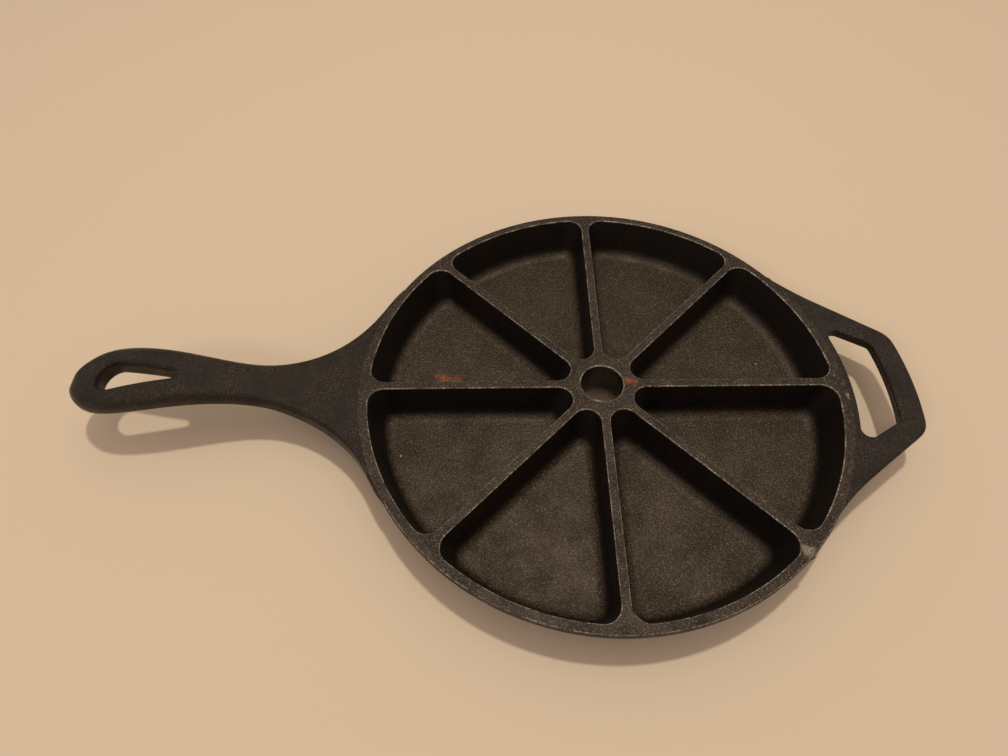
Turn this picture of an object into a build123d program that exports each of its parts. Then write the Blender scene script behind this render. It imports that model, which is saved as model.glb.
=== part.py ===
from build123d import *
import os
from math import sin, cos, tan, pi, radians, degrees, sqrt, asin, acos

# Cast iron wedge pan: eight drafted wedge wells round a bored hub, a long arched handle
# and a looped helper handle. It is one casting, modelled as regions that meet face to face.
# It is drawn round the hub's axis, standing on z = 0, with the long handle along -X.

# Pan, in millimetres and degrees
pan_height = 24.5           # resting plane to the flat top of the rim
rim_diameter = 230.0
rim_top_width = 4.2         # flat top between a well and the rim's outer edge
rim_lip = 3.4               # upright band under the rim's top
rim_edge_round = 0.7
casting_wall = 4.2
band_inset = 0.6            # how far the wall between two cups stands behind the cups
overrun = 2.0               # every cutter passes its face by this much
touch = 0.05                # places nearer than this count as the same

# Wells and dividers
well_count = 8
divider_top_width = 3.85
divider_draft = 6.0
outer_draft = 15.0
nose_radius = 6.7           # well corner at the hub, at the rim's level
corner_radius = 7.3         # well corners at the rim, at the rim's level
corner_growth = 0.8         # how much larger both are at the floor
floor_fillet = 6.0
well_edge_round = 0.6

# Hub
hub_bore = 20.0
hub_bottom = 7.5            # height of the hub's underside above the table
hub_boss_radius = 24.5
bore_edge_round = 0.9

# Where the casting divides into regions
region_margin = 0.2         # how far outside the wells' noses the hub's region ends
handle_seat = 3.4           # depth of the rim that the handles' roots thicken
root_width = 100.0          # width of the long handle's root under the lip

# Long handle
handle_reach = 134.0        # rim's edge to the handle's tip
waist_reach = 49.0          # rim's edge to the narrowest place
waist_width = 20.8
paddle_setback = 23.0       # widest place, back from the tip
paddle_width = 33.8
flare_angle = 31.1          # where the flare leaves the rim, each side of the handle
# Places on the flare, as shares of its run towards the waist and of its narrowing
flare_place_shares = ((0.885, 0.771), (0.786, 0.559), (0.656, 0.365), (0.427, 0.153), (0.214, 0.039))
paddle_run = 24.0           # how far the paddle's curve holds its direction at both ends
tip_run_along = 13.8
tip_run_across = 7.6
root_run = 21.0             # distance over which the root reaches its full thickness
tip_run = 5.2               # length of the round at the tip, seen from the side
handle_depth = 10.2         # thickness of the bar
handle_edge_round = 4.6
root_edge_round = 1.0
corner_share = 0.49         # largest corner of a section, as a share of its depth or width
flare_station_shares = (0, 0.15, 0.3, 0.45, 0.6, 0.8, 1)
paddle_station_shares = (0.25, 0.5, 0.75, 1)
tip_station_shares = (0.25, 0.45, 0.6, 0.72, 0.82, 0.9, 0.96)
climb_reach = 7.0           # rim's edge to where the handle starts to climb
crown_setback = 43.0        # highest place, back from the tip
arch_rise = 12.6
tip_droop = 6.2             # how far the tip lies under the crown

# Hanging hole in the long handle: a teardrop with its point towards the pan
hang_end_radius = 7.0
hang_end_setback = 22.2     # middle of its round end, back from the tip
hang_point_radius = 2.2
hang_run = 26.8             # middle of the round end to the middle of the point
hang_edge_round = 2.5

# Helper handle
helper_depth = 5.0
helper_length = 32.5        # rim's edge to the curved outer edge
helper_bar = 11.4
helper_slot_gap = 3.0       # rim's edge to the slot
helper_side_angle = 35.4    # slope of the outer sides
helper_side_inset = 8.9     # how far inside the rim's edge the line of an outer side passes
helper_corner = 12.0
helper_flare = 160.0
slot_side_angle = 30.0
slot_side_inset = 28.8      # the same for a side of the slot
slot_inner_corner = 4.0
slot_outer_corner = 3.0
helper_edge_round = 1.0
helper_tuck = 0.9           # how far inside the rim's edge the flares run out
flare_trim = 5.0            # last degrees of a flare's arc, which are straight and not rounded

# Sizes that follow from these
rim_radius = rim_diameter / 2
well_radius = rim_radius - rim_top_width
sector = 360 / well_count
half_sector = sector / 2
half = radians(half_sector)
draft = radians(divider_draft)
slope = tan(radians(outer_draft))
well_depth = pan_height - casting_wall
floor_gap = divider_top_width / 2 + well_depth * tan(draft)
floor_nose = nose_radius + corner_growth
floor_corner = corner_radius + corner_growth
corner_ring = well_radius - well_depth * slope - floor_corner
hub_split_distance = (floor_gap + floor_nose) / tan(half) + region_margin
rim_split_radius = sqrt(corner_ring ** 2 - (floor_gap + floor_corner) ** 2)
waist_distance = rim_radius + waist_reach
handle_length = rim_radius + handle_reach
paddle_distance = handle_length - paddle_setback
arch_start = rim_radius + climb_reach
arch_crown = handle_length - crown_setback
hang_end_distance = handle_length - hang_end_setback
hang_point_distance = hang_end_distance - hang_run
helper_reach = rim_radius + helper_length
helper_slot_inner = rim_radius + helper_slot_gap
helper_side_distance = rim_radius - helper_side_inset
slot_side_distance = rim_radius - slot_side_inset


def mirror_x(point):
    return (-point[0], point[1])


def mirror_y(point):
    return (point[0], -point[1])


def polar(radius, angle):
    return (radius * cos(angle), radius * sin(angle))


def shifted(point, distance, angle):
    return (point[0] + distance * cos(angle), point[1] + distance * sin(angle))


def wedge(level, grow):
    """Outline of a well, or of the cup round it, at a height. It is symmetric about the X axis."""
    drop = pan_height - level
    gap = divider_top_width / 2 + drop * tan(draft) - grow / cos(draft)
    outer = well_radius - drop * slope + grow / cos(radians(outer_draft))
    nose = nose_radius + corner_growth * drop / well_depth + grow
    corner = corner_radius + corner_growth * drop / well_depth + grow
    nose_x = (gap + nose) / sin(half)
    turn = half - asin((gap + corner) / (outer - corner))
    corner_centre = polar(outer - corner, turn)
    across = half + pi / 2
    nose_end = shifted((nose_x, 0), nose, across)
    corner_start = shifted(corner_centre, corner, across)
    corner_mid = shifted(corner_centre, corner, (across + turn) / 2)
    corner_end = polar(outer, turn)
    face = make_face([
        ThreePointArc(mirror_y(nose_end), (nose_x - nose, 0), nose_end),
        Line(nose_end, corner_start),
        ThreePointArc(corner_start, corner_mid, corner_end),
        ThreePointArc(corner_end, (outer, 0), mirror_y(corner_end)),
        ThreePointArc(mirror_y(corner_end), mirror_y(corner_mid), mirror_y(corner_start)),
        Line(mirror_y(corner_start), mirror_y(nose_end)),
    ])
    return Pos(0, 0, level) * face


def wedge_block(low, high, grow, bottom_round):
    """A drafted wedge with a rounded bottom edge."""
    block = loft([wedge(low, grow), wedge(high, grow)], ruled=True)
    return fillet(block.edges().group_by(Axis.Z)[0], bottom_round)


def drum(radius, low, high):
    return Pos(0, 0, low) * extrude(Circle(radius), high - low)


def distance_from_axis(shape):
    return sqrt(shape.center().X ** 2 + shape.center().Y ** 2)


def on_sector_side(edge):
    """True for an edge in one of the two planes that cut the sector out."""
    return abs(abs(edge.center().Y) - edge.center().X * tan(half)) < touch


# One eighth of the pan, centred on a divider that runs along +X
reach = rim_radius + overrun
lip_low = pan_height - rim_lip
well = wedge_block(casting_wall, pan_height + overrun, 0, floor_fillet)
cup = wedge_block(0, (pan_height + lip_low) / 2, casting_wall, floor_fillet + casting_wall)
left_well = Rot(0, 0, half_sector) * well
right_well = Rot(0, 0, -half_sector) * well
left_cup = Rot(0, 0, half_sector) * cup
right_cup = Rot(0, 0, -half_sector) * cup
sector_corner = (reach, reach * tan(half))
sector_face = make_face(Polyline((0, 0), mirror_y(sector_corner), sector_corner, (0, 0)))
sector_block = extrude(sector_face, pan_height)

# The casting round the cups: the top with its lip, the band that closes the gaps
# between the cups, and the hub's boss
flat_start = floor_gap + floor_fillet * tan((pi / 2 - draft) / 2)
cup_round = floor_fillet + casting_wall
valley_height = cup_round - sqrt(cup_round ** 2 - flat_start ** 2)
band_top = well_radius + casting_wall / cos(radians(outer_draft)) - rim_lip * slope - band_inset
band_low = band_top - (lip_low - valley_height) * slope
band_inner = well_radius - pan_height * slope
band_outline = Polyline((band_inner, valley_height), (band_low, valley_height), (band_top, lip_low),
                        (band_inner, lip_low), (band_inner, valley_height))
band = revolve(make_face(Plane.XZ * band_outline), Axis.Z)
top_disc = drum(rim_radius, lip_low, pan_height)
hub_boss = drum(hub_boss_radius, hub_bottom, pan_height)
bore = drum(hub_bore / 2, -overrun, pan_height + overrun)
piece = (left_cup + right_cup + band + top_disc + hub_boss) & sector_block
piece = piece - left_well - right_well - bore
top_edges = [edge for edge in piece.edges().filter_by_position(Axis.Z, pan_height, pan_height)
             if not on_sector_side(edge) and hub_bore / 2 < distance_from_axis(edge) < well_radius]
piece = fillet([edge for edge in top_edges if edge.geom_type != GeomType.CIRCLE], well_edge_round)

# Regions of the sector
hub_side = Pos(0, 0, pan_height / 2) * Box(2 * hub_split_distance, 2 * reach, 2 * pan_height)
core = drum(rim_split_radius, -overrun, pan_height + overrun)
hub_piece = piece & hub_side
rim_piece = piece - core
middle = (piece & core) - hub_side
floor_halves = middle - Box(4 * reach, 2 * flat_start, 4 * pan_height)


# A divider between hub and rim keeps one section: rounded top, drafted sides, fillets,
# and the valley underneath
fillet_centre = (flat_start, casting_wall + floor_fillet)
cup_centre = (flat_start, cup_round)
valley = (0, valley_height)
side_foot = shifted(fillet_centre, -floor_fillet, draft)
fillet_mid = shifted(fillet_centre, -floor_fillet, draft / 2 + pi / 4)
fillet_foot = (flat_start, casting_wall)
outer_foot = (flat_start, 0)
cup_mid = shifted(cup_centre, -cup_round, (pi / 2 + asin((cup_round - valley_height) / cup_round)) / 2)
top_corner = (divider_top_width / 2, pan_height)
section_face = make_face([
    Line(mirror_x(top_corner), top_corner),
    Line(top_corner, side_foot),
    ThreePointArc(side_foot, fillet_mid, fillet_foot),
    Line(fillet_foot, outer_foot),
    ThreePointArc(outer_foot, cup_mid, valley),
    ThreePointArc(valley, mirror_x(cup_mid), mirror_x(outer_foot)),
    Line(mirror_x(outer_foot), mirror_x(fillet_foot)),
    ThreePointArc(mirror_x(fillet_foot), mirror_x(fillet_mid), mirror_x(side_foot)),
    Line(mirror_x(side_foot), mirror_x(top_corner)),
])
section_face = fillet(section_face.vertices().sort_by(Axis.Y)[-2:], well_edge_round)
along_divider = Plane(origin=(hub_split_distance, 0, 0), x_dir=(0, 1, 0), z_dir=(1, 0, 0))
divider = extrude(along_divider * section_face, rim_split_radius) & core

# Helper handle: a flat loop, flush with the rim's top
helper_low = pan_height - helper_depth
side = radians(90 - helper_side_angle)
tuck_radius = rim_radius - helper_tuck
flare_reach = tuck_radius + helper_flare
flare_turn = side - acos((helper_side_distance + helper_flare) / flare_reach)
corner_turn = side - acos((helper_side_distance - helper_corner) / (helper_reach - helper_corner))


flare_centre = polar(flare_reach, flare_turn)
flare_rim = polar(tuck_radius, flare_turn)
flare_side = shifted(flare_centre, -helper_flare, side)
flare_end = shifted(flare_centre, -helper_flare, flare_turn + radians(flare_trim))
flare_mid = shifted(flare_centre, -helper_flare, (side + flare_turn) / 2)
corner_centre = polar(helper_reach - helper_corner, corner_turn)
corner_side = shifted(corner_centre, helper_corner, side)
corner_mid = shifted(corner_centre, helper_corner, (side + corner_turn) / 2)
corner_end = polar(helper_reach, corner_turn)
inner_rim = polar(rim_radius - handle_seat, flare_turn)
helper_outline = [
    Line(inner_rim, flare_rim),
    Line(flare_rim, flare_end),
    ThreePointArc(flare_end, flare_mid, flare_side),
    Line(flare_side, corner_side),
    ThreePointArc(corner_side, corner_mid, corner_end),
    ThreePointArc(corner_end, (helper_reach, 0), mirror_y(corner_end)),
    ThreePointArc(mirror_y(corner_end), mirror_y(corner_mid), mirror_y(corner_side)),
    Line(mirror_y(corner_side), mirror_y(flare_side)),
    ThreePointArc(mirror_y(flare_side), mirror_y(flare_mid), mirror_y(flare_end)),
    Line(mirror_y(flare_end), mirror_y(flare_rim)),
    Line(mirror_y(flare_rim), mirror_y(inner_rim)),
    ThreePointArc(mirror_y(inner_rim), (rim_radius - handle_seat, 0), inner_rim),
]
slot_outer = helper_reach - helper_bar
slot_side = radians(90 - slot_side_angle)


def slot_corner(radius):
    return polar(radius, slot_side - acos(slot_side_distance / radius))


near_corner = slot_corner(helper_slot_inner)
far_corner = slot_corner(slot_outer)
slot_face = make_face([
    ThreePointArc(mirror_y(near_corner), (helper_slot_inner, 0), near_corner),
    Line(near_corner, far_corner),
    ThreePointArc(far_corner, (slot_outer, 0), mirror_y(far_corner)),
    Line(mirror_y(far_corner), mirror_y(near_corner)),
])
slot_face = fillet(slot_face.vertices().sort_by(Axis.X)[:2], slot_inner_corner)
slot_face = fillet(slot_face.vertices().sort_by(Axis.X)[-2:], slot_outer_corner)
helper_plate = extrude(make_face(helper_outline), helper_depth) - extrude(slot_face, helper_depth)
levels = helper_plate.edges().group_by(Axis.Z)
plate_edges = [edge for edge in levels[0] + levels[-1]
               if distance_from_axis(edge) > rim_radius + helper_edge_round]
helper_plate = Pos(0, 0, helper_low) * fillet(plate_edges, helper_edge_round)

# Long handle: rounded sections along an arched centreline
climb = pi / (arch_crown - arch_start)
root_start = rim_radius * cos(radians(flare_angle))


def crown_line(distance):
    """Height of the handle's top above the rim's plane."""
    if distance < arch_start:
        return 0
    if distance < arch_crown:
        return arch_rise * (1 - cos(climb * (distance - arch_start))) / 2
    return arch_rise - tip_droop * ((distance - arch_crown) / (handle_length - arch_crown)) ** 2


def thickness(distance):
    """Thickness of the bar: thin where the flare leaves the rim, round at the tip."""
    root = sin(pi / 2 * min(1, (distance - root_start) / root_run))
    end = sqrt(max(0, 1 - (max(0, distance - handle_length + tip_run) / tip_run) ** 2))
    return (rim_lip + (handle_depth - rim_lip) * root) * end


def station(curve, share):
    """Distance and half width at a share of a plan curve."""
    place = curve @ share
    return (place.X, place.Y)


flare_start = polar(rim_radius, radians(flare_angle))
flare_way = polar(1, radians(flare_angle - 90))
waist = (waist_distance, waist_width / 2)
flare_run = waist_distance - root_start
flare_narrowing = flare_start[1] - waist[1]
flare_points = [(waist[0] - along_share * flare_run, waist[1] + across_share * flare_narrowing)
                for along_share, across_share in flare_place_shares]
paddle = (paddle_distance, paddle_width / 2)
tip = (handle_length, 0)
flare_curve = Spline(flare_start, *flare_points, waist, tangents=[flare_way, (1, 0)])
paddle_curve = Bezier(waist, (waist[0] + paddle_run, waist[1]), (paddle[0] - paddle_run, paddle[1]), paddle)
tip_curve = Bezier(paddle, (paddle[0] + tip_run_along, paddle[1]), (tip[0], tip_run_across), tip)


def section(distance, half_width):
    depth = thickness(distance)
    spread = min(1, (distance - root_start) / (waist_distance - root_start))
    corner = min(handle_edge_round * spread + root_edge_round * (1 - spread), depth * corner_share)
    corner = min(corner, half_width * corner_share)
    height = pan_height + crown_line(distance) - handle_depth / 2
    if distance < waist_distance:
        height = pan_height + crown_line(distance) - depth / 2
    place = Plane(origin=(-distance, 0, height), x_dir=(0, 1, 0), z_dir=(1, 0, 0))
    return place * RectangleRounded(2 * half_width, depth, corner)


stations = [station(flare_curve, share) for share in flare_station_shares]
stations += [station(paddle_curve, share) for share in paddle_station_shares]
stations += [station(tip_curve, share) for share in tip_station_shares]
handle_bar = loft([section(*place) for place in stations])

# Hanging hole: two circles and their tangents, its edges rounded
hole_ends = (Pos(-hang_end_distance, 0) * Circle(hang_end_radius)).edges()
hole_ends += (Pos(-hang_point_distance, 0) * Circle(hang_point_radius)).edges()
handle_bar = handle_bar - extrude(make_hull(hole_ends), 2 * pan_height)
hole_start = hang_point_distance - 2 * hang_point_radius
hole_stop = handle_length - hang_end_radius
hole_edges = [edge for edge in handle_bar.edges()
              if edge.geom_type != GeomType.LINE
              and hole_start < -edge.center().X < hole_stop
              and abs(edge.center().Y) < hang_end_radius]
handle_bar = fillet(hole_edges, hang_edge_round)

# The regions put together. Each handle meets the rim on the cylinder of the rim's outer edge.
turns = [Rot(0, 0, index * sector) for index in range(well_count)]
beyond_rim = drum(rim_radius, -overrun, 2 * pan_height)
hub = (turns[0] * hub_piece).fuse(*[turn * hub_piece for turn in turns[1:]]).clean()
bore_edges = [edge for edge in hub.edges().filter_by(GeomType.CIRCLE)
              if abs(edge.radius - hub_bore / 2) < touch]
hub = fillet(bore_edges, bore_edge_round)

# Roots: the casting is thicker under the lip where the handles join it
lip_middle = (pan_height + lip_low) / 2
cross_share = (flare_reach ** 2 + rim_radius ** 2 - helper_flare ** 2) / (2 * flare_reach * rim_radius)
helper_end = degrees(flare_turn - acos(cross_share))
collar = drum(rim_radius, 0, lip_middle) - drum(rim_radius - handle_seat, 0, lip_middle)
helper_block = Pos(0, 0, helper_low) * extrude(make_face([
    Line((0, 0), polar(reach, radians(-helper_end))),
    Line(polar(reach, radians(-helper_end)), (2 * reach, 0)),
    Line((2 * reach, 0), polar(reach, radians(helper_end))),
    Line(polar(reach, radians(helper_end)), (0, 0)),
]), pan_height)
root_block = handle_bar & Box(4 * reach, root_width, 4 * pan_height)
rim_pieces = []
for turn in turns:
    joined = turn * rim_piece
    for handle in (root_block, helper_block):
        root = handle & collar & (turn * sector_block)
        if root and root.volume > 0:
            joined = joined + root
    rim_pieces.append(joined)
rim = rim_pieces[0].fuse(*rim_pieces[1:]).clean()

# The rim's top edge is rounded between the two handles, on both sides
round_in = rim_radius - rim_edge_round
round_low = pan_height - rim_edge_round
edge_profile = make_face([
    Line((round_in, pan_height), (reach, pan_height)),
    Line((reach, pan_height), (reach, round_low)),
    Line((reach, round_low), (rim_radius, round_low)),
    RadiusArc((rim_radius, round_low), (round_in, pan_height), rim_edge_round),
])
rounding = revolve(Plane.XZ * edge_profile, Axis.Z, 180 - flare_angle - helper_end)
rim = rim - Rot(0, 0, helper_end) * rounding - Rot(0, 0, 180 + flare_angle) * rounding
parts = {
    "rim": rim,
    "hub": hub,
    "long_handle": handle_bar - beyond_rim,
    "helper_handle": helper_plate - beyond_rim,
}
left_half, right_half = floor_halves.solids().sort_by(Axis.Y, reverse=True)
for index, turn in enumerate(turns):
    next_turn = Rot(0, 0, (index + 1) * sector)
    parts["divider_" + str(index + 1)] = turn * divider
    parts["well_floor_" + str(index + 1)] = (turn * left_half).fuse(next_turn * right_half).clean()

# The frame's origin is the middle of the pan's length, on the resting plane
to_frame = Pos((handle_length - helper_reach) / 2, 0, 0)
os.makedirs("parts", exist_ok=True)
for name, shape in parts.items():
    export_step(to_frame * shape, "parts/" + name + ".step")
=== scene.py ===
import bpy
import numpy as np
from math import radians
from mathutils import Euler, Matrix, Vector


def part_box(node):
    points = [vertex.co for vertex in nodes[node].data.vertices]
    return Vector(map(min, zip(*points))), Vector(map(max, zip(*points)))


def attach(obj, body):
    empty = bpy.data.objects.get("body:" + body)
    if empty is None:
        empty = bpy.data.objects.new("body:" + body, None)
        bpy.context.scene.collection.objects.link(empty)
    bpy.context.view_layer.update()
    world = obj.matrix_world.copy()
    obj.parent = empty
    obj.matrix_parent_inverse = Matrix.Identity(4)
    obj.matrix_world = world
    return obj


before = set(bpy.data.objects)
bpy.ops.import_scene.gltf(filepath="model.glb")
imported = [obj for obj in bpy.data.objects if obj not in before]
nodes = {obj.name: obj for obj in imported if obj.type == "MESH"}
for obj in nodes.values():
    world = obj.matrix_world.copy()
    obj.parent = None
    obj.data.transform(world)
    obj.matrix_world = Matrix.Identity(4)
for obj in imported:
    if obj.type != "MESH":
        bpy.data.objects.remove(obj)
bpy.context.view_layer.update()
print("frame loaded:", len(nodes), "regions of the casting")

mm = 0.001

# Levels of the pan and places on it, read from the frame
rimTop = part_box("rim")[1][2]
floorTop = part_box("well_floor_1")[1][2]
hubX = (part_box("hub")[0][0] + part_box("hub")[1][0]) / 2
rimRadius = (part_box("rim")[1][1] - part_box("rim")[0][1]) / 2
print("rim at", round(rimTop / mm, 1), "mm, floors at", round(floorTop / mm, 1), "mm")


def fromHex(code):
    # sRGB hex to the linear values that sockets take
    parts = [int(code[i:i + 2], 16) / 255 for i in (1, 3, 5)]
    return tuple(p / 12.92 if p <= 0.04045 else ((p + 0.055) / 1.055) ** 2.4 for p in parts) + (1.0,)


def addNode(tree, kind, settings=None, inputs=None):
    # settings are the node's own properties; inputs maps a socket to a value or to an output
    node = tree.nodes.new(kind)
    for key, value in (settings or {}).items():
        setattr(node, key, value)
    for key, value in (inputs or {}).items():
        socket = node.inputs[key]
        if isinstance(value, bpy.types.NodeSocket):
            tree.links.new(value, socket)
        else:
            socket.default_value = value
    return node


# Seasoned cast iron: a sand-cast skin under baked-on oil. It gives the eye a brown-black that is neither
# paint nor bare metal, a fine grain that sparkles under a lamp, and lighter, browner iron where it is rubbed.
ironLook = {
    "deepSeasoning": "#0C0A08",
    "brownSeasoning": "#19130E",
    "rubbedIron": "#362B1E",
    # pale iron for real pale marks and rubbed metal, also the colour of the painted edge highlights and
    # painted glints
    "brightIron": "#B3A48E",
    "bakedFloor": "#35291A",
    "rust": "#A04E18",
    # noises: size, detail, roughness of the detail
    "clouds": (14 * mm, 5, 0.6),         # cloudy patches in the oil
    "lumps": (6 * mm, 3, 0.5),           # slow unevenness of the casting
    "grains": (1.0 * mm, 3, 0.6),        # sand grains of the mould, a little coarse so that they show
    "specks": (0.7 * mm, 2, 0.6),
    "paintedGlints": (0.55 * mm, 0, 0.5),       # painted glints: grains drawn pale as if they caught the lamp
    "lumpHeight": 0.10 * mm,
    "grainHeight": 0.30 * mm,
    # bands of height: where one starts and where it is full, under the rim's top or over the floors' top
    "topBand": (0.12 * mm, 0.01 * mm),
    # edge band: a thin pale line on the rounded edges under the rim's top, partly rubbed metal and partly the
    # lamp's highlight painted in
    "edgeBand": (0.75 * mm, 0.40 * mm),
    "floorBand": (0.1 * mm, 3.0 * mm),
    # ranges: from low to high of a noise, then the values they give if these aren't 0 and 1
    "brownClouds": (0.35, 0.68),
    "bakedClouds": (0.30, 0.62, 0.70, 1.0),
    "bakedSpecks": (0.28, 0.72, 0.35, 1.0),
    "wornClouds": (0.25, 0.60, 0.45, 1.0),
    "wornSpecks": (0.30, 0.75, 0.15, 1.0),
    "edgeLumps": (0.36, 0.62, 0.30, 1.0),
    "sandySpecks": (0.30, 0.70, 0.25, 1.75),
    "sandyGrains": (0.30, 0.70, 0.70, 1.30),
    "paintedGlintRange": (0.62, 0.74),
    "roughClouds": (0.30, 0.70, 0.60, 0.36),
    # marks: how far specks and lumps fray the border, and the full core, as shares of the radius
    "frayedBySpecks": 2.4,
    "frayedByLumps": 3.0,
    "markCore": 0.25,
    "ior": 1.5,
    "specular": 0.30,
    "oilTint": "#FFE6CC",                # baked oil warms what it reflects
}

# Marks: place from the hub's axis and the rim's top in mm, radius in mm, strength
rustSpots = [
    ((-76.6, 17.6, -20.3), 3.6, 0.45),
    ((-80.7, 18.9, -20.3), 2.0, 0.35),
    ((-71.4, 15.7, -20.3), 4.4, 0.30),
    ((12.6, 1.3, 0.0), 2.4, 0.50),
    ((16.0, 1.0, 0.0), 3.0, 0.28),
]
paleSpots = [
    ((76.0, -83.0, 0.0), 3.2, 0.40),
    ((110.9, 3.4, 0.0), 1.6, 0.45),
    ((113.6, -1.5, 0.0), 1.2, 0.40),
    ((115.2, -9.0, 0.0), 1.8, 0.40),
    ((104.2, 30.1, -20.3), 0.7, 0.9),
    ((84.6, 24.5, -20.3), 0.6, 0.9),
    ((-95.8, -26.9, -20.3), 0.6, 0.8),
    ((87.7, -70.3, -1.0), 0.8, 0.9),
    ((-41.8, -61.6, -20.3), 0.6, 0.8),
]

# What differs from piece to piece: wear of the level tops, rubbed edges with their painted highlight, painted
# glints, height of the grain, gloss
panSkin = {"topWear": 0.75, "edge": 0.62, "paintedGlint": 0.18, "grain": 1.0, "gloss": 0.0}
handleSkin = {"topWear": 0.10, "edge": 0.0, "paintedGlint": 0.05, "grain": 2.2, "gloss": 0.14}


def castIron(name, look, skin, marks=()):
    material = bpy.data.materials.new(name)
    material.use_nodes = True
    tree = material.node_tree
    tree.nodes.clear()
    place = addNode(tree, "ShaderNodeTexCoord").outputs["Object"]
    height = addNode(tree, "ShaderNodeSeparateXYZ", None, {0: place}).outputs["Z"]

    def noise(key):
        size, detail, rough = look[key]
        inputs = {"Vector": place, "Scale": 1 / size, "Detail": detail, "Roughness": rough}
        return addNode(tree, "ShaderNodeTexNoise", {"noise_dimensions": "3D"}, inputs).outputs["Fac"]

    def ramp(value, low, high, toLow=0.0, toHigh=1.0):
        inputs = {"Value": value, "From Min": low, "From Max": high, "To Min": toLow, "To Max": toHigh}
        settings = {"clamp": True, "interpolation_type": "SMOOTHSTEP"}
        return addNode(tree, "ShaderNodeMapRange", settings, inputs).outputs["Result"]

    def calc(kind, a, b):
        return addNode(tree, "ShaderNodeMath", {"operation": kind}, {0: a, 1: b}).outputs[0]

    def times(a, b):
        return calc("MULTIPLY", a, b)

    def less(a, b):
        return calc("SUBTRACT", a, b)

    def vectorCalc(kind, inputs, output):
        return addNode(tree, "ShaderNodeVectorMath", {"operation": kind}, inputs).outputs[output]

    def coat(share, base, colour):
        inputs = {0: share, 6: base, 7: fromHex(look[colour])}
        return addNode(tree, "ShaderNodeMix", {"data_type": "RGBA"}, inputs).outputs[2]

    clouds, specks, grains, lumps = (noise(key) for key in ("clouds", "specks", "grains", "lumps"))
    low, high = look["topBand"]
    top = ramp(height, rimTop - low, rimTop - high)
    low, high = look["edgeBand"]
    edge = times(ramp(height, rimTop - low, rimTop - high), less(1.0, top))
    low, high = look["floorBand"]
    floorMask = less(1.0, ramp(height, floorTop + low, floorTop + high))

    base = coat(ramp(clouds, *look["brownClouds"]), fromHex(look["deepSeasoning"]), "brownSeasoning")
    baked = times(floorMask, ramp(clouds, *look["bakedClouds"]))
    base = coat(times(baked, ramp(specks, *look["bakedSpecks"])), base, "bakedFloor")
    wear = times(ramp(specks, *look["wornSpecks"]), ramp(clouds, *look["wornClouds"]))
    base = coat(times(times(top, skin["topWear"]), wear), base, "rubbedIron")
    # painted highlight and wear: the rounded edges get a pale line, the same all round, that stands partly
    # for the lamp's highlight on them
    edgeWearAndHighlight = times(ramp(lumps, *look["edgeLumps"]), skin["edge"])
    base = coat(times(edge, edgeWearAndHighlight), base, "brightIron")
    for colour, centre, radius, strength in marks:
        centre = (hubX + centre[0] * mm, centre[1] * mm, rimTop + centre[2] * mm)
        border = vectorCalc("DISTANCE", {0: place, 1: centre}, "Value")
        for value, fray in ((specks, look["frayedBySpecks"]), (lumps, look["frayedByLumps"])):
            border = calc("ADD", border, times(less(value, 0.5), fray * radius * mm))
        spot = less(1.0, ramp(border, look["markCore"] * radius * mm, radius * mm))
        base = coat(times(spot, strength), base, colour)
    sandy = times(ramp(specks, *look["sandySpecks"]), ramp(grains, *look["sandyGrains"]))
    base = vectorCalc("SCALE", {0: base, "Scale": sandy}, 0)
    # painted glints: pale specks of grain drawn in as if catching the lamp, kept to the floors and level tops
    # where the light falls
    paintedGlint = ramp(noise("paintedGlints"), *look["paintedGlintRange"])
    base = coat(times(paintedGlint, times(calc("MAXIMUM", floorMask, top), skin["paintedGlint"])), base, "brightIron")

    rough = less(ramp(clouds, *look["roughClouds"]), skin["gloss"])
    relief = calc("ADD", times(grains, look["grainHeight"] * skin["grain"]), times(lumps, look["lumpHeight"]))
    bump = addNode(tree, "ShaderNodeBump", None, {"Height": relief, "Strength": 1.0, "Distance": 1.0})
    inputs = {"Base Color": base, "Roughness": rough, "Normal": bump.outputs["Normal"]}
    shader = addNode(tree, "ShaderNodeBsdfPrincipled", None, inputs)
    shader.inputs["Metallic"].default_value = 0.0
    shader.inputs["IOR"].default_value = look["ior"]
    shader.inputs["Specular IOR Level"].default_value = look["specular"]
    shader.inputs["Specular Tint"].default_value = fromHex(look["oilTint"])
    addNode(tree, "ShaderNodeOutputMaterial", None, {"Surface": shader.outputs[0]})
    return material


panMarks = [("rust", *spot) for spot in rustSpots] + [("brightIron", *spot) for spot in paleSpots]
panIron = castIron("seasonedCastIron", ironLook, panSkin, panMarks)
handleIron = castIron("coarseCastIron", ironLook, handleSkin)
for name, node in nodes.items():
    node.data.materials.clear()
    node.data.materials.append(handleIron if "handle" in name else panIron)
print("iron assigned")

# Flash nub: a little iron that ran into the mould's joint, left on the lip at the near right
nubLook = {"angle": -47.5, "length": 3.0 * mm, "proud": 0.9 * mm, "sunk": 0.2 * mm, "depth": 1.6 * mm,
           "drop": 1.5 * mm, "swells": (0.12, 0.08), "along": 24, "around": 16}


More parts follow.
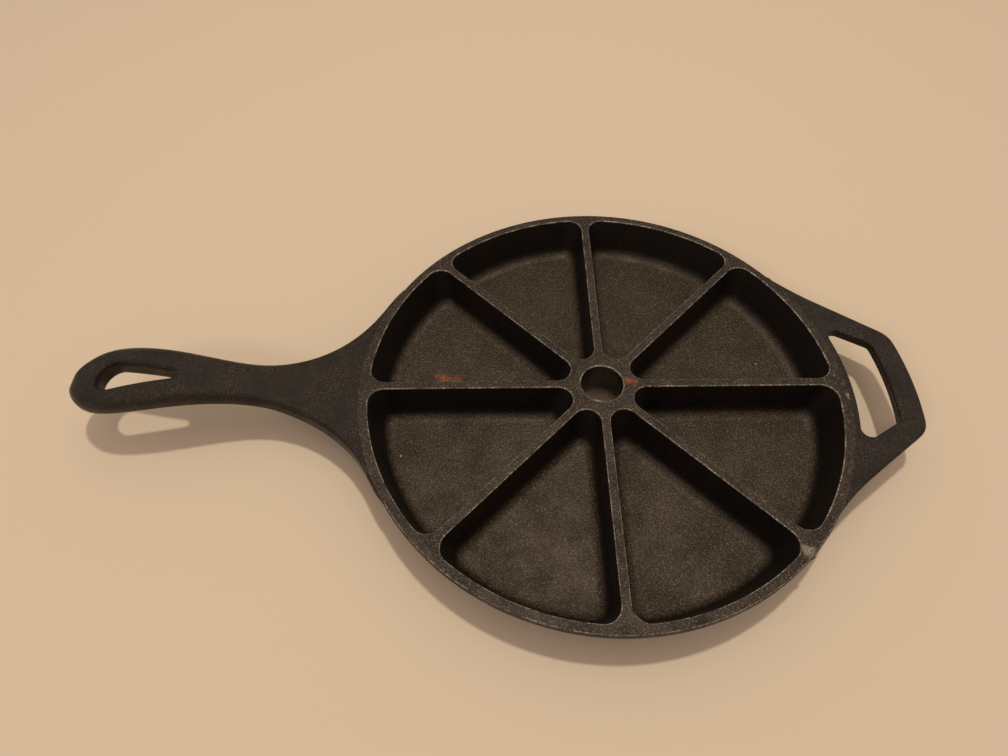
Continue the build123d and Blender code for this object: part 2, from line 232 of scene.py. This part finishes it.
def flashNub(look):
    # an ellipsoid on the rim's outer edge, roughened by a sum of waves of its two angles
    u = np.linspace(0, np.pi, look["along"])[:, None]
    v = np.linspace(0, 2 * np.pi, look["around"], endpoint=False)[None, :]
    slow, quick = look["swells"]
    swell = 1 + slow * np.sin(3 * v + 2 * u) + quick * np.cos(5 * u - v)
    alongEdge = look["length"] / 2 * np.cos(u) * np.ones_like(v)
    outward = look["proud"] * np.sin(u) * np.cos(v) * swell
    upward = look["depth"] / 2 * np.sin(u) * np.sin(v) * swell
    turn = radians(look["angle"])
    radial = rimRadius - look["sunk"] + outward
    x = hubX + radial * np.cos(turn) - alongEdge * np.sin(turn)
    y = radial * np.sin(turn) + alongEdge * np.cos(turn)
    z = rimTop - look["drop"] + upward
    points = np.stack([x, y, z], axis=-1).reshape(-1, 3)
    rows, columns = look["along"], look["around"]
    i, j = np.meshgrid(np.arange(rows - 1), np.arange(columns), indexing="ij")
    nextJ = (j + 1) % columns
    corners = [(i, j), (i, nextJ), (i + 1, nextJ), (i + 1, j)]
    faces = np.stack([row * columns + column for row, column in corners], axis=-1)
    mesh = bpy.data.meshes.new("flash_nub")
    mesh.from_pydata(points.tolist(), [], faces.reshape(-1, 4).tolist())
    mesh.polygons.foreach_set("use_smooth", [True] * len(mesh.polygons))
    return mesh


def addPiece(name, mesh, material):
    piece = bpy.data.objects.new(name, mesh)
    bpy.context.collection.objects.link(piece)
    mesh.materials.append(material)
    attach(piece, "root")


addPiece("flash_nub", flashNub(nubLook), panIron)
print("flash nub added")

# Floor: a plain pale board
floorLook = {"colour": "#D5BE9F", "size": 6.0, "drop": 0.1 * mm, "roughness": 0.8, "specular": 0.2}
bpy.ops.mesh.primitive_plane_add(size=floorLook["size"], location=(0, 0, -floorLook["drop"]))
floor = bpy.context.object
floor.name = "floor"
floorMaterial = bpy.data.materials.new("matBoard")
floorMaterial.use_nodes = True
floorShader = floorMaterial.node_tree.nodes["Principled BSDF"]
floorShader.inputs["Base Color"].default_value = fromHex(floorLook["colour"])
floorShader.inputs["Roughness"].default_value = floorLook["roughness"]
floorShader.inputs["Specular IOR Level"].default_value = floorLook["specular"]
floor.data.materials.append(floorMaterial)
print("floor laid")

# Light: a small lamp high behind the pan, a wide soft box over it, a weak window at the near left
# that catches the handle's edges, and a dim even surround
lightLook = {
    "lamp": {"colour": "#FAFAF4", "power": 12.3, "size": 0.10, "place": (hubX + 0.07, 0.28, 1.7)},
    "softBox": {"colour": "#FFF0E9", "power": 6.0, "size": 2.4, "place": (0, 0.3, 2.0)},
    "window": {"colour": "#F2F4FF", "power": 3.0, "size": 0.28, "place": (-0.80, -0.85, 1.05)},
}
surroundLook = {"colour": "#FFEFE9", "strength": 0.44}
for name, look in lightLook.items():
    data = bpy.data.lights.new(name, "AREA")
    data.shape = "DISK"
    data.size = look["size"]
    data.energy = look["power"]
    data.color = fromHex(look["colour"])[:3]
    light = bpy.data.objects.new(name, data)
    light.location = look["place"]
    light.rotation_euler = (-Vector(look["place"])).to_track_quat("-Z", "Y").to_euler()
    bpy.context.collection.objects.link(light)
world = bpy.data.worlds.new("surround")
bpy.context.scene.world = world
world.use_nodes = True
sky = world.node_tree.nodes["Background"]
sky.inputs["Color"].default_value = fromHex(surroundLook["colour"])
sky.inputs["Strength"].default_value = surroundLook["strength"]
bpy.context.scene.view_settings.view_transform = "Standard"
print("lights set")

# Camera: held above the near side, looking down on the pan; height is degrees above the horizontal
cameraLook = {"turn": -0.436, "height": 55.855, "roll": -0.196, "lens": 23.99, "sensor": 36.0,
              "nearest": 10 * mm, "place": (2.94 * mm, -175.93 * mm, 289.07 * mm)}
cameraData = bpy.data.cameras.new("camera")
cameraData.lens = cameraLook["lens"]
cameraData.sensor_width = cameraLook["sensor"]
cameraData.sensor_fit = "HORIZONTAL"
cameraData.clip_start = cameraLook["nearest"]
camera = bpy.data.objects.new("camera", cameraData)
aim = Euler((radians(90 - cameraLook["height"]), 0, radians(cameraLook["turn"]))).to_matrix()
camera.rotation_euler = (aim @ Matrix.Rotation(radians(cameraLook["roll"]), 3, "Z")).to_euler()
camera.location = cameraLook["place"]
bpy.context.collection.objects.link(camera)
bpy.context.scene.camera = camera
print("camera set")
